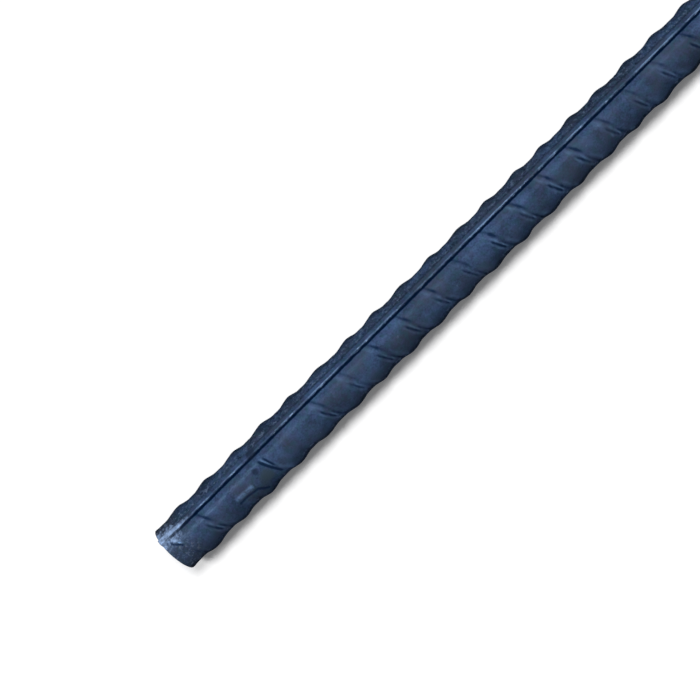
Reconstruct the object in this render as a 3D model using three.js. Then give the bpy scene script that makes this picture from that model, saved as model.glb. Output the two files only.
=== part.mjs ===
// A cut length of deformed reinforcing bar, hot rolled from one piece of steel: a round core, two straight
// longitudinal ribs on opposite sides of it, and both ends cropped to length in a bar shear.
//
// Millimetres, +Z up. The bar's axis is the X axis, with the origin at its middle. The bar lies as it does
// on a level floor, on its core and on one edge of its lower rib. The low crescent ribs that cross between
// the two longitudinal ribs are surface relief, so this section is the bar's own section between them.

import * as THREE from 'three';

// Driving dimensions, in millimetres and degrees.

const barLength = 600; // along the axis, from one cut face to the other
const coreDiameter = 11.5; // of the round core, which a nominal 12 mm bar has between its crescent ribs

const ribHeight = 0.7; // of a longitudinal rib above the core
const ribCrestWidth = 1.2; // between the rib's sharp corners, before they are rounded
const ribFlankLean = 22; // of a rib's side walls away from square, so that it leaves its rolling groove
const ribCrestRadius = 0.22; // on the rib's two upper corners
const ribRootRadius = 0.4; // where the rib's side walls run into the core

const cropSkew = 2; // of a cut face away from square, seen from above
const cropLean = 5.5; // of a cut face away from upright, seen from the side
const rolloverRadius = 0.3; // of the edge where the shear blade entered, which it drew over
const breakoutRadius = 0.12; // of the edge where the blade broke out, which stays nearly sharp
const rolloverFocus = 1.5; // how soon the drawn edge tightens away from the blade's side; 1 is evenly

const facetTolerance = 0.03; // how far a flat facet may lie inside the true arc
const edgeSteps = 5; // rings round the cut's edge, from the bar's side to its cut face

const steel = new THREE.MeshStandardMaterial({ color: 0x34455d, roughness: 0.5, metalness: 0.75 });

const coreRadius = coreDiameter / 2;

/** The points of an arc about a centre, drawn the short way round and within the facet tolerance. */
function arcPoints(centre, radius, startAngle, endAngle) {
  const widestStep = 2 * Math.acos(1 - facetTolerance / radius);
  const steps = Math.max(2, Math.ceil(Math.abs(endAngle - startAngle) / widestStep));
  const clockwise = endAngle < startAngle;
  const arc = new THREE.EllipseCurve(
    centre.x, centre.y, radius, radius, startAngle, endAngle, clockwise);
  return arc.getPoints(steps);
}

/**
 * The upper right quarter of a longitudinal rib that stands straight up on the core: the circles of its
 * crest corner and of its root, and the lean of the wall between them.
 */
function ribQuarter() {
  const lean = THREE.MathUtils.degToRad(ribFlankLean);
  const wallDown = new THREE.Vector2(Math.sin(lean), -Math.cos(lean));
  const wallOut = new THREE.Vector2(Math.cos(lean), Math.sin(lean));
  const sharpCorner = new THREE.Vector2(ribCrestWidth / 2, coreRadius + ribHeight);

  // Each radius is limited by the wall that it rounds, so that a low or narrow rib keeps its form.
  const crestRadius = Math.min(ribCrestRadius, 0.4 * ribHeight, 0.5 * ribCrestWidth);
  const rootRadius = Math.min(ribRootRadius, ribHeight);

  const crestTangent = crestRadius * Math.tan((Math.PI / 2 - lean) / 2);
  const crestCentre = sharpCorner.clone().sub(new THREE.Vector2(crestTangent, crestRadius));

  // The root circle touches both the wall and the core from outside.
  const pathStart = sharpCorner.clone().addScaledVector(wallOut, rootRadius);
  const along = pathStart.dot(wallDown);
  const reach = coreRadius + rootRadius;
  const downWall = -along - Math.sqrt(along ** 2 - pathStart.lengthSq() + reach ** 2);
  const rootCentre = pathStart.clone().addScaledVector(wallDown, downWall);

  return { lean, crestCentre, crestRadius, rootCentre, rootRadius };
}

/** The outline from one rib's right root, over the rib and down the left of the core to the other rib. */
function halfSection(rib) {
  const { lean, crestCentre, crestRadius, rootCentre, rootRadius } = rib;
  const leftCrestCentre = new THREE.Vector2(-crestCentre.x, crestCentre.y);
  const leftRootCentre = new THREE.Vector2(-rootCentre.x, rootCentre.y);
  const rootAngle = rootCentre.angle();
  const leftRootAngle = leftRootCentre.angle();

  const rightRoot = arcPoints(rootCentre, rootRadius, rootAngle + Math.PI, lean + Math.PI);
  const rightCrest = arcPoints(crestCentre, crestRadius, lean, Math.PI / 2);
  const leftCrest = arcPoints(leftCrestCentre, crestRadius, Math.PI / 2, Math.PI - lean);
  const leftRoot = arcPoints(leftRootCentre, rootRadius, -lean, leftRootAngle - Math.PI);
  const core = arcPoints(new THREE.Vector2(), coreRadius, leftRootAngle, rootAngle + Math.PI);

  // The core's own first and last points are those of the roots that it meets.
  return [...rightRoot, ...rightCrest, ...leftCrest, ...leftRoot, ...core.slice(1, -1)];
}

/**
 * How far the bar is turned about its axis when it lies on a level floor. The floor is the common tangent
 * of the core and of the near crest corner of the lower rib.
 */
function restingTurn(rib) {
  const cornerTurn = Math.atan2(rib.crestCentre.x, rib.crestCentre.y);
  return cornerTurn + Math.acos((coreRadius - rib.crestRadius) / rib.crestCentre.length());
}

/** The bar's section as it lies: x is the bar's +Y and y is its +Z, anticlockwise seen from +X. */
function lyingSection() {
  const rib = ribQuarter();
  const half = halfSection(rib);
  const otherHalf = half.map((point) => point.clone().negate());
  const centre = new THREE.Vector2();
  return [...half, ...otherHalf].map((point) => point.rotateAround(centre, -restingTurn(rib)));
}

/** How squarely a point of the section faces the shear blade, which enters the +X end from its +Y side. */
function facingBlade(point) {
  return point.x / point.length();
}

/** The radius of the cut's edge at a point of the section: largest on the blade's side. */
function edgeRadius(point) {
  const share = ((1 + facingBlade(point)) / 2) ** rolloverFocus;
  return THREE.MathUtils.lerp(breakoutRadius, rolloverRadius, share);
}

/** The place along X of the leaning cut face of the +X end, over a point of the section. */
function cutFaceX(point) {
  const skew = Math.tan(THREE.MathUtils.degToRad(cropSkew));
  const lean = Math.tan(THREE.MathUtils.degToRad(cropLean));
  return barLength / 2 - point.x * skew - point.y * lean;
}

/** The ring round the cut's edge at the +X end: turn 0 on the bar's side, a right angle on the cut face. */
function edgeRing(section, turn) {
  return section.map((point) => {
    const radius = edgeRadius(point);
    const drawn = point.clone().setLength(point.length() - radius * (1 - Math.cos(turn)));
    const x = cutFaceX(drawn) - radius * (1 - Math.sin(turn));
    return new THREE.Vector3(x, drawn.x, drawn.y);
  });
}

/** All rings of the +X end, from the plain bar to the cut face. */
function croppedEndRings(section) {
  const turns = Array.from({ length: edgeSteps + 1 }, (_, step) => (Math.PI / 2) * (step / edgeSteps));
  return turns.map((turn) => edgeRing(section, turn));
}

/**
 * The same end turned through the bar's middle for the -X end, because a shear's two blades come from
 * opposite sides. Half way round the section is the point opposite, so each ring keeps its starting side.
 */
function oppositeEndRings(endRings) {
  const turned = endRings.map((ring) => {
    const half = ring.length / 2;
    return ring.map((_, index) => ring[(index + half) % ring.length].clone().negate());
  });
  return turned.reverse();
}

/** The closed skin over rings of equal length that follow one another along +X. */
function loftRings(rings) {
  const around = rings[0].length;
  const positions = rings.flat().flatMap((point) => point.toArray());
  const triangles = [];

  for (let band = 0; band < rings.length - 1; band += 1) {
    for (let index = 0; index < around; index += 1) {
      const low = band * around + index;
      const lowNext = band * around + ((index + 1) % around);
      triangles.push(low, lowNext, lowNext + around);
      triangles.push(low, lowNext + around, low + around);
    }
  }

  const firstFace = rings[0].map((point) => new THREE.Vector2(point.y, point.z));
  const lastFace = rings.at(-1).map((point) => new THREE.Vector2(point.y, point.z));
  const lastStart = (rings.length - 1) * around;
  for (const [a, b, c] of THREE.ShapeUtils.triangulateShape(firstFace, [])) {
    triangles.push(c, b, a);
  }
  for (const [a, b, c] of THREE.ShapeUtils.triangulateShape(lastFace, [])) {
    triangles.push(lastStart + a, lastStart + b, lastStart + c);
  }

  const skin = new THREE.BufferGeometry();
  skin.setAttribute('position', new THREE.Float32BufferAttribute(positions, 3));
  skin.setIndex(triangles);
  skin.computeVertexNormals();
  return skin;
}

/** The whole bar, from its -X cut face to its +X cut face. */
function deformedBar() {
  const endRings = croppedEndRings(lyingSection());
  const bar = new THREE.Mesh(loftRings([...oppositeEndRings(endRings), ...endRings]), steel);
  bar.name = 'deformed_bar';
  return bar;
}

const reinforcingBar = new THREE.Group();
reinforcingBar.name = 'reinforcing_bar';
reinforcingBar.add(deformedBar());

export default reinforcingBar;
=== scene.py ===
"""Looks of a cut length of deformed reinforcing bar that lies on a pale studio floor.

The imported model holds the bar's plain section from end to end. This script lays the bar's full skin over it:
the round core and its two longitudinal ribs, the crescent ribs that Geometry Nodes raise between them, the
sheared ends, a raised mill mark and the blue-black scale that hot rolling leaves on the steel.
"""

import logging
import math
from dataclasses import dataclass, field
from enum import Enum

import bmesh
import bpy
import numpy as np
from bpy.types import (
    GeometryNodeTree,
    Material,
    Mesh,
    Node,
    NodeOutputs,
    NodeSocket,
    NodeTree,
    Object,
    World,
)
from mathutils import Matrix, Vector


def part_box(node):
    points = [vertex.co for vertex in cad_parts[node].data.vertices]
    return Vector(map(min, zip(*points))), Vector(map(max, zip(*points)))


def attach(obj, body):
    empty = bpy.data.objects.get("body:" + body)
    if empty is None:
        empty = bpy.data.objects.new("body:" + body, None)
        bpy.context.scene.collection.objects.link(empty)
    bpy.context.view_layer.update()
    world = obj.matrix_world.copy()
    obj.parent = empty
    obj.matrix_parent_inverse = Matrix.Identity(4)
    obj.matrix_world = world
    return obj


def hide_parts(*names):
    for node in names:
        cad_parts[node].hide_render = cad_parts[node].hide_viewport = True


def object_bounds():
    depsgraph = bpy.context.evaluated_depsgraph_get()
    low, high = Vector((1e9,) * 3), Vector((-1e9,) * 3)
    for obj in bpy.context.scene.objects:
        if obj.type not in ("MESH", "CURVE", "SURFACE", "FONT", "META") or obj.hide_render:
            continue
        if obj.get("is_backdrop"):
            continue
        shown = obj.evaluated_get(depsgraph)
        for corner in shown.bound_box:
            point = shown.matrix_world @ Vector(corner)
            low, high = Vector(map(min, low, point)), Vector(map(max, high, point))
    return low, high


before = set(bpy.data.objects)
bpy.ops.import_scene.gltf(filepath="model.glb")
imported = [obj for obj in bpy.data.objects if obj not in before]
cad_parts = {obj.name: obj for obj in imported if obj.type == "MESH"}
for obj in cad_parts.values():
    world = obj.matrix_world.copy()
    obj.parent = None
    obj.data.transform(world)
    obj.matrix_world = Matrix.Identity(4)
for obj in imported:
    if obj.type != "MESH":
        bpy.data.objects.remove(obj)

LOG = logging.getLogger("reinforcing_bar")

MM = 0.001  # one millimetre in metres, which is the unit of every size in this file
BAR_NODE = "deformed_bar"
BAR_BODY = "root"

Colour = tuple[float, float, float, float]
Ring = tuple[np.ndarray, float, float]  # points, share of the section's full size, share of the cut face


def linear(hex_colour: str) -> Colour:
    """Turns an sRGB hex colour into Blender's linear colour.

    Args:
        hex_colour: The colour as "#rrggbb".

    Returns:
        Red, green, blue and an alpha of one.
    """
    parts = [int(hex_colour[place : place + 2], 16) / 255 for place in (1, 3, 5)]
    red, green, blue = (p / 12.92 if p <= 0.04045 else ((p + 0.055) / 1.055) ** 2.4 for p in parts)
    return red, green, blue, 1.0


def add_node(
    tree: NodeTree,
    kind: str,
    inputs: dict[int | str, object] | None = None,
    **settings: object,
) -> Node:
    """Adds a node to a tree, with its settings and what goes into it.

    Args:
        tree: The shader or geometry tree.
        kind: The node's type name.
        inputs: What goes into each input, by the input's name or place: a plain value, a socket, or a node,
            which stands for its first output.
        settings: The node's own properties.

    Returns:
        The new node.
    """
    node = tree.nodes.new(kind)
    for name, value in settings.items():
        setattr(node, name, value)
    for key, value in (inputs or {}).items():
        source = value.outputs[0] if isinstance(value, Node) else value
        if isinstance(source, NodeSocket):
            tree.links.new(source, node.inputs[key])
        else:
            node.inputs[key].default_value = source
    return node


def empty_tree(owner: Material | World) -> NodeTree:
    """Turns on the nodes of a material or a world and takes out those that it starts with.

    Args:
        owner: The material or the world.

    Returns:
        Its empty tree.
    """
    owner.use_nodes = True
    owner.node_tree.nodes.clear()
    return owner.node_tree


def seen_itself(tree: NodeTree) -> Node:
    """Tells the rays that see a thing from those that only carry its light.

    Args:
        tree: The tree of a material or a world.

    Returns:
        1 for the camera and for mirrored and transmitted views, and 0 for the rest.
    """
    path = add_node(tree, "ShaderNodeLightPath").outputs
    seen = path["Is Camera Ray"]
    for other_view in ("Is Glossy Ray", "Is Transmission Ray"):
        seen = add_node(tree, "ShaderNodeMath", {0: seen, 1: path[other_view]}, operation="MAXIMUM")
    return seen


def smooth_step(low: float, high: float, value: np.ndarray) -> np.ndarray:
    """Rises smoothly from 0 at `low` to 1 at `high`.

    Args:
        low: Where the rise starts.
        high: Where it ends.
        value: The places to work it out at.

    Returns:
        The share of the rise at each place.
    """
    share = np.clip((value - low) / (high - low), 0.0, 1.0)
    return share * share * (3.0 - 2.0 * share)


class BarEnd(Enum):
    """The bar's two ends, by the direction in which each one faces along X."""

    NEAR = -1
    FAR = 1


@dataclass(frozen=True)
class BarSection:
    """The bar's section: a round core with two longitudinal ribs on opposite sides of it.

    The outline is worked out as (across, up) with one rib standing straight up, and is then turned as the
    bar lies. A point's turn is its angle from that rib, growing from +Z towards +Y.
    """

    core_diameter: float = 11.5 * MM
    rib_height: float = 0.7 * MM
    crest_width: float = 1.2 * MM
    flank_lean: float = math.radians(22)
    crest_radius: float = 0.22 * MM
    root_radius: float = 0.4 * MM
    upper_corner_steps: int = 3
    lower_corner_steps: int = 2
    near_core_steps: int = 17
    far_core_steps: int = 12

    @property
    def core_radius(self) -> float:
        """Half of the core's diameter."""
        return self.core_diameter / 2

    def crest_centre(self) -> complex:
        """The centre of the circle that rounds a rib's crest corner, as across + up * i."""
        inset = self.crest_radius * math.tan((math.pi / 2 - self.flank_lean) / 2)
        return complex(self.crest_width / 2 - inset, self.core_radius + self.rib_height - self.crest_radius)

    def root_centre(self) -> complex:
        """Works out the centre of the circle that joins a rib's wall to the core.

        Returns:
            The centre, as across + up * i.
        """
        sharp_corner = complex(self.crest_width / 2, self.core_radius + self.rib_height)
        wall_out = complex(math.cos(self.flank_lean), math.sin(self.flank_lean))
        start = sharp_corner + wall_out * self.root_radius
        down_wall = wall_out * -1j
        along = (start * down_wall.conjugate()).real
        reach = self.core_radius + self.root_radius
        return start + down_wall * (-along - math.sqrt(along**2 - abs(start) ** 2 + reach**2))

    def resting_turn(self) -> float:
        """Works out how the bar lies on a level floor.

        Returns:
            How far the upper rib leans from +Z towards +Y, in radians.
        """
        crest = self.crest_centre()
        corner_turn = math.atan2(crest.real, crest.imag)
        return corner_turn + math.acos((self.core_radius - self.crest_radius) / abs(crest))

    def rib_side(self, corner_steps: int) -> list[complex]:
        """One side of a standing rib, from its crest corner down to where its root meets the core.

        Args:
            corner_steps: How many steps each of the two arcs has.

        Returns:
            The points, as across + up * i.
        """
        crest, root = self.crest_centre(), self.root_centre()
        crest_turns = np.linspace(math.pi / 2, self.flank_lean, corner_steps + 1)
        root_turns = np.linspace(self.flank_lean, math.atan2(root.imag, root.real), corner_steps + 1)
        corner = [crest + self.crest_radius * complex(math.cos(t), math.sin(t)) for t in crest_turns]
        foot = [root - self.root_radius * complex(math.cos(t), math.sin(t)) for t in root_turns]
        return [*corner, *foot]

    def outline(self) -> np.ndarray:
        """Works out the whole section.

        Returns:
            The points, as across + up * i, in the order of their turn.
        """
        upper = self.rib_side(self.upper_corner_steps)
        lower = self.rib_side(self.lower_corner_steps)
        foot_turn = math.pi / 2 - math.atan2(upper[-1].imag, upper[-1].real)
        top = complex(0, self.core_radius + self.rib_height)
        near_turns = np.linspace(-math.pi + foot_turn, -foot_turn, self.near_core_steps + 1)[1:-1]
        far_turns = np.linspace(foot_turn, math.pi - foot_turn, self.far_core_steps + 1)[1:-1]
        near_core = [self.core_radius * complex(math.sin(t), math.cos(t)) for t in near_turns]
        far_core = [self.core_radius * complex(math.sin(t), math.cos(t)) for t in far_turns]
        upper_rib = [*[-p.conjugate() for p in reversed(upper)], top, *upper]
        lower_half = [-p for p in lower]
        mirrored_half = [-p.conjugate() for p in lower_half]
        points = [-top, *lower_half, *near_core, *upper_rib, *far_core, *reversed(mirrored_half)]
        return np.array(points)

    def lying_ring(self) -> np.ndarray:
        """The section as the bar lies, as y + z * i."""
        turn = self.resting_turn()
        return self.outline() * complex(math.cos(turn), -math.sin(turn))


@dataclass(frozen=True)
class ShearedEnds:
    """Both ends of the bar, as the two blades of a bar shear leave them.

    The blade's side of each cut is drawn over into a round shoulder. The far side breaks out nearly sharp.
    """

    skew: float = math.radians(1.8)
    lean: float = math.radians(5.5)
    rollover_radius: float = 0.15 * MM
    breakout_radius: float = 0.12 * MM
    rollover_focus: float = 1.5
    edge_steps: int = 7
    face_shares: tuple[float, ...] = (0.93, 0.8, 0.6, 0.36, 0.14)

    def face_x(self, end: BarEnd, half_length: float, place: np.ndarray) -> np.ndarray:
        """Where the leaning plane of a cut lies along X, over places given as y + z * i."""
        return end.value * half_length - place.real * math.tan(self.skew) - place.imag * math.tan(self.lean)

    def edge_ring(self, end: BarEnd, half_length: float, ring: np.ndarray, turn: float) -> np.ndarray:
        """One ring round the cut's edge.

        Args:
            end: Which end it is at.
            half_length: Half of the bar's length.
            ring: The section as it lies, as y + z * i.
            turn: 0 on the bar's side and a right angle on the cut face.

        Returns:
            The ring's points, one row of x, y and z for each.
        """
        facing_blade = end.value * ring.real / np.abs(ring)
        share = ((1 + facing_blade) / 2) ** self.rollover_focus
        radius = self.breakout_radius + (self.rollover_radius - self.breakout_radius) * share
        drawn = ring * (1 - radius * (1 - math.cos(turn)) / np.abs(ring))
        x = self.face_x(end, half_length, drawn) - end.value * radius * (1 - math.sin(turn))
        return np.column_stack([x, drawn.real, drawn.imag])

    def overhang(self, ring: np.ndarray) -> float:
        """How far the cut face's leading edge stands out past the bar's nominal end."""
        return float(self.edge_ring(BarEnd.FAR, 0.0, ring, math.pi / 2)[:, 0].max())

    def rings(self, end: BarEnd, half_length: float, ring: np.ndarray) -> list[Ring]:
        """All rings of an end, from the bar's side to near the middle of the cut face.

        Args:
            end: Which end it is.
            half_length: Half of the bar's length.
            ring: The section as it lies, as y + z * i.

        Returns:
            Each ring's points, its share of the section's full size, and how much it belongs to the cut face.
        """
        made = []
        for step in range(self.edge_steps + 1):
            turn = math.pi / 2 * step / self.edge_steps
            made.append((self.edge_ring(end, half_length, ring, turn), 1.0, (step / self.edge_steps) ** 2))
        rim = made[-1][0][:, 1] + 1j * made[-1][0][:, 2]
        for share in self.face_shares:
            inner = rim * share
            x = self.face_x(end, half_length, inner)
            made.append((np.column_stack([x, inner.real, inner.imag]), share, 1.0))
        return made


@dataclass(frozen=True)
class RibPattern:
    """Where the crescent ribs cross the bar.

    Each rib starts at a fold line, which is its foot on the side of the near end. The fold leans: it runs
    further from the near end the further it is from the upper longitudinal rib.
    """

    pitch: float = 8.903 * MM
    lean: float = math.radians(19.4)
    first_fold: float = -296.53 * MM
    far_half_lag: float = 0.93 * MM

    def lean_rate(self, core_radius: float) -> float:
        """How far along the bar a fold moves for each radian round it."""
        return core_radius * math.tan(self.lean)


@dataclass(frozen=True)
class BarSkin:
    """The bar's closed skin before its crescent ribs are raised.

    Its rings lean as the crescent ribs do, and lie closest where each rib's fold will be.
    """

    section: BarSection
    ends: ShearedEnds
    pattern: RibPattern
    half_length: float
    end_margin: float = 1.8 * MM
    end_zone: float = 12.0 * MM
    end_steps: tuple[float, float] = (0.18 * MM, 0.36 * MM)
    fine_length: float = 172.0 * MM
    fold_reach: tuple[float, float] = (-1.9 * MM, 2.5 * MM)
    fine_steps: tuple[int, int] = (27, 8)
    coarse_steps: tuple[int, int] = (9, 5)
    end_blend_steps: int = 9

    def stations(self) -> np.ndarray:
        """Spreads the rings over the bar, close together where the folds will be.

        Returns:
            Their places along the bar, measured where a ring crosses the middle of its half.
        """
        start = -self.half_length + self.end_margin
        fine_start = -self.half_length + self.end_zone
        near_step, far_step = self.end_steps
        near = np.arange(start, fine_start, near_step)
        last = self.half_length - self.end_margin
        far = np.arange(self.half_length - self.end_zone, last + far_step / 2, far_step)
        middle: list[float] = []
        cell = self.pattern.first_fold + self.fold_reach[0]
        while cell < self.half_length:
            is_fine = cell < -self.half_length + self.fine_length
            fold_steps, plain_steps = self.fine_steps if is_fine else self.coarse_steps
            fold_end = cell - self.fold_reach[0] + self.fold_reach[1]
            middle.extend(np.linspace(cell, fold_end, fold_steps, endpoint=False))
            middle.extend(np.linspace(fold_end, cell + self.pattern.pitch, plain_steps, endpoint=False))
            cell += self.pattern.pitch
        kept = [v for v in middle if near[-1] + near_step < v < far[0] - far_step]
        return np.concatenate([near, kept, far])

    def between(self, first: Ring, last: Ring) -> list[Ring]:
        """The rings between a cut's own edge and the plain bar, evenly spread from one to the other."""
        shares = np.linspace(0.0, 1.0, self.end_blend_steps + 1)[1:-1]
        return [(first[0] * (1 - share) + last[0] * share, 1.0, 0.0) for share in shares]

    def build(self) -> Mesh:
        """Makes the skin.

        Returns:
            A closed mesh with the attributes half_turn, far_half, skin_share and cut_face on its points.
        """
        ring = self.section.lying_ring()
        around = len(ring)
        standing = self.section.outline()
        turns = np.arctan2(standing.real, standing.imag)
        half_turn = np.abs(turns) - math.pi / 2
        lean_rate = self.pattern.lean_rate(self.section.core_radius)

        plain = []
        for place in self.stations():
            to_end = self.half_length - abs(place) - self.end_margin
            slant = smooth_step(0.0, self.end_zone - self.end_margin, np.array(to_end))
            x = place + lean_rate * half_turn * slant
            plain.append((np.column_stack([x, ring.real, ring.imag]), 1.0, 0.0))
        near = self.ends.rings(BarEnd.NEAR, self.half_length, ring)
        far = self.ends.rings(BarEnd.FAR, self.half_length, ring)
        rings = [
            *reversed(near),
            *self.between(near[0], plain[0]),
            *plain,
            *self.between(plain[-1], far[0]),
            *far,
        ]

        points = np.concatenate([r[0] for r in rings])
        centres = np.array([[-self.half_length, 0.0, 0.0], [self.half_length, 0.0, 0.0]])
        points = np.concatenate([points, centres])
        faces = []
        for band in range(len(rings) - 1):
            for index in range(around):
                low = band * around + index
                low_next = band * around + (index + 1) % around
                faces.append((low, low + around, low_next + around, low_next))
        near_centre, far_centre = len(points) - 2, len(points) - 1
        last = (len(rings) - 1) * around
        for index in range(around):
            following = (index + 1) % around
            faces.append((near_centre, index, following))
            faces.append((far_centre, last + following, last + index))

        mesh = bpy.data.meshes.new("bar_skin")
        mesh.from_pydata(points.tolist(), [], faces)
        values = {
            "half_turn": [*np.tile(half_turn, len(rings)), 0.0, 0.0],
            "far_half": [*np.tile((turns > 0).astype(float), len(rings)), 0.0, 0.0],
            "skin_share": [*np.repeat([r[1] for r in rings], around), 0.0, 0.0],
            "cut_face": [*np.repeat([r[2] for r in rings], around), 1.0, 1.0],
        }
        for name, column in values.items():
            attribute = mesh.attributes.new(name, "FLOAT", "POINT")
            attribute.data.foreach_set("value", np.array(column, np.float32))
        mesh.validate()
        return mesh


@dataclass(frozen=True)
class FineZone:
    """A patch of the near half whose skin is divided more finely, because lines there cross its rings."""

    places: tuple[float, float]
    turns: tuple[float, float]
    cuts: int = 3

    def holds(self, x: float, turn: float, far_half: float) -> bool:
        """Whether a point of the skin lies in the patch."""
        in_length = self.places[0] <= x <= self.places[1]
        return far_half < 0.5 and in_length and self.turns[0] <= turn <= self.turns[1]

    def points(self, work: bmesh.types.BMesh) -> list[bmesh.types.BMVert]:
        """Finds the skin's points in the patch.

        Args:
            work: The skin as it is edited.

        Returns:
            The points.
        """
        turn = work.verts.layers.float["half_turn"]
        far_half = work.verts.layers.float["far_half"]
        return [v for v in work.verts if self.holds(v.co.x, v[turn], v[far_half])]

    def divide(self, work: bmesh.types.BMesh) -> None:
        """Divides the skin's faces that lie wholly in the patch.

        Args:
            work: The skin as it is edited.
        """
        inside = set(self.points(work))
        edges = {edge for face in work.faces if inside.issuperset(face.verts) for edge in face.edges}
        bmesh.ops.subdivide_edges(work, edges=list(edges), cuts=self.cuts, use_grid_fill=True)


@dataclass(frozen=True)
class MillMark:
    """The place of the mill's rolled mark, which here holds one plain raised dash with a crease below it.

    It takes the place of one rib's fold. Places round the bar are turns from the middle of the near half.
    """

    rib_number: int = 2
    centre: float = -279.2 * MM
    turn: float = math.radians(-36.5)
    length: float = 5.9 * MM
    width: float = 1.5 * MM
    height: float = 0.26 * MM
    soft_edge: float = 0.5 * MM
    crease_turns: tuple[float, float] = (math.radians(-25), math.radians(-3))
    crease_inset: float = 0.5 * MM  # from the dash's end to where the crease starts
    crease_run: float = 2.0 * MM
    crease_depth: float = 0.15 * MM
    crease_width: float = 0.42 * MM
    zone: FineZone = FineZone((-283.8 * MM, -272.9 * MM), (math.radians(-64), math.radians(22)))

    def dash(self, along: np.ndarray, around: np.ndarray) -> np.ndarray:
        """Shapes the dash.

        Args:
            along: Distances along the bar from its middle.
            around: Distances round the bar from its middle.

        Returns:
            For each place, 1 on the dash's top and 0 outside it.
        """
        half_length, half_width = self.length / 2, self.width / 2
        lengthwise = smooth_step(half_length, half_length - self.soft_edge, np.abs(along))
        return lengthwise * smooth_step(half_width, half_width - self.soft_edge, np.abs(around))

    def crease(self, along: np.ndarray, around: np.ndarray, core_radius: float) -> np.ndarray:
        """Shapes the crease, which runs below the dash and then off towards the lower rib.

        Args:
            along: Distances along the bar from the dash's middle.
            around: Distances round the bar from it.
            core_radius: The radius of the core that they lie on.

        Returns:
            For each place, 1 along the crease's middle and 0 outside it.
        """
        top, foot = ((turn - self.turn) * core_radius for turn in self.crease_turns)
        bend = complex(self.length / 2, top)
        start = complex(self.crease_inset - self.length / 2, top)
        stretches = ((start, bend), (bend, bend + complex(self.crease_run, foot - top)))
        places = along + 1j * around
        nearest = np.full(len(places), np.inf)
        for first, last in stretches:
            run = last - first
            share = np.clip(((places - first) * run.conjugate()).real / abs(run) ** 2, 0.0, 1.0)
            nearest = np.minimum(nearest, np.abs(places - first - share * run))
        return smooth_step(self.crease_width, 0.0, nearest)

    def raise_on(self, skin: Mesh, core_radius: float) -> None:
        """Divides the skin at the mark's place and shapes the mark, with the attributes mark and crease.

        Args:
            skin: The bar's skin.
            core_radius: The radius of the core that the mark stands on.
        """
        work = bmesh.new()
        work.from_mesh(skin)
        mark = work.verts.layers.float.new("mark")
        crease = work.verts.layers.float.new("crease")
        turn = work.verts.layers.float["half_turn"]
        self.zone.divide(work)
        points = self.zone.points(work)
        along = np.array([v.co.x for v in points]) - self.centre
        around = (np.array([v[turn] for v in points]) - self.turn) * core_radius
        raised = self.dash(along, around)
        sunk = self.crease(along, around, core_radius)
        radii = core_radius + self.height * raised - self.crease_depth * sunk
        for point, radius, up, down in zip(points, radii, raised, sunk):
            stretch = radius / math.hypot(point.co.y, point.co.z)
            point.co = Vector((point.co.x, point.co.y * stretch, point.co.z * stretch))
            point[mark] = up
            point[crease] = down
        work.to_mesh(skin)
        work.free()


@dataclass(frozen=True)
class RollLine:
    """A short line that the roll leaves along a crescent rib's foot.

    It runs from one turn of its half of the bar to another, in degrees, and drifts along the bar as it goes.
    Its places past the rib's straight foot and its width are in millimetres.
    """

    turns: tuple[float, float]
    places: tuple[float, float]
    width: float
    strength: float = 1.0
    soft_turn: float = 5

    def draw(self, tree: GeometryNodeTree, past_fold: Node, turn: Node) -> Node:
        """Draws the line, which fades out at both of its turns.

        Args:
            tree: The ribs' tree.
            past_fold: How far past its own rib's straight foot a point lies.
            turn: The point's turn from the middle of its half.

        Returns:
            The mask, which is the line's strength along its middle.
        """
        first, last = (math.radians(degrees) for degrees in self.turns)
        soft_turn = math.radians(self.soft_turn)
        starts_at, ends_at = (millimetres * MM for millimetres in self.places)
        place = add_node(
            tree,
            "ShaderNodeMapRange",
            {"Value": turn, "From Min": first, "From Max": last, "To Min": starts_at, "To Max": ends_at},
        )
        off = add_node(tree, "ShaderNodeMath", {0: past_fold, 1: place}, operation="SUBTRACT")
        distance = add_node(tree, "ShaderNodeMath", {0: off}, operation="ABSOLUTE")
        mask = add_node(
            tree,
            "ShaderNodeMapRange",
            {"Value": distance, "From Min": self.width * MM, "From Max": 0.0, "To Max": self.strength},
            interpolation_type="SMOOTHSTEP",
        )
        for outside, inside in ((first - soft_turn, first), (last + soft_turn, last)):
            inputs = {"Value": turn, "From Min": outside, "From Max": inside}
            shown = add_node(tree, "ShaderNodeMapRange", inputs, interpolation_type="SMOOTHSTEP")
            mask = add_node(tree, "ShaderNodeMath", {0: mask, 1: shown}, operation="MULTIPLY")
        return mask


@dataclass(frozen=True)
class SkinPoint:
    """What the ribs' tree reads at a point of the skin, as nodes of that tree."""

    tree: GeometryNodeTree
    given: NodeOutputs  # the tree's inputs
    place: NodeOutputs  # the point's X, Y and Z
    turn: Node  # from the middle of its half of the bar
    far_half: Node  # 1 on the far half of the bar and 0 on the near one
    past_fold: Node  # along the bar from its own rib's straight foot
    number: Node  # its own rib's, which no other rib has
    to_end: Node  # along the bar to the nearer end


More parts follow.
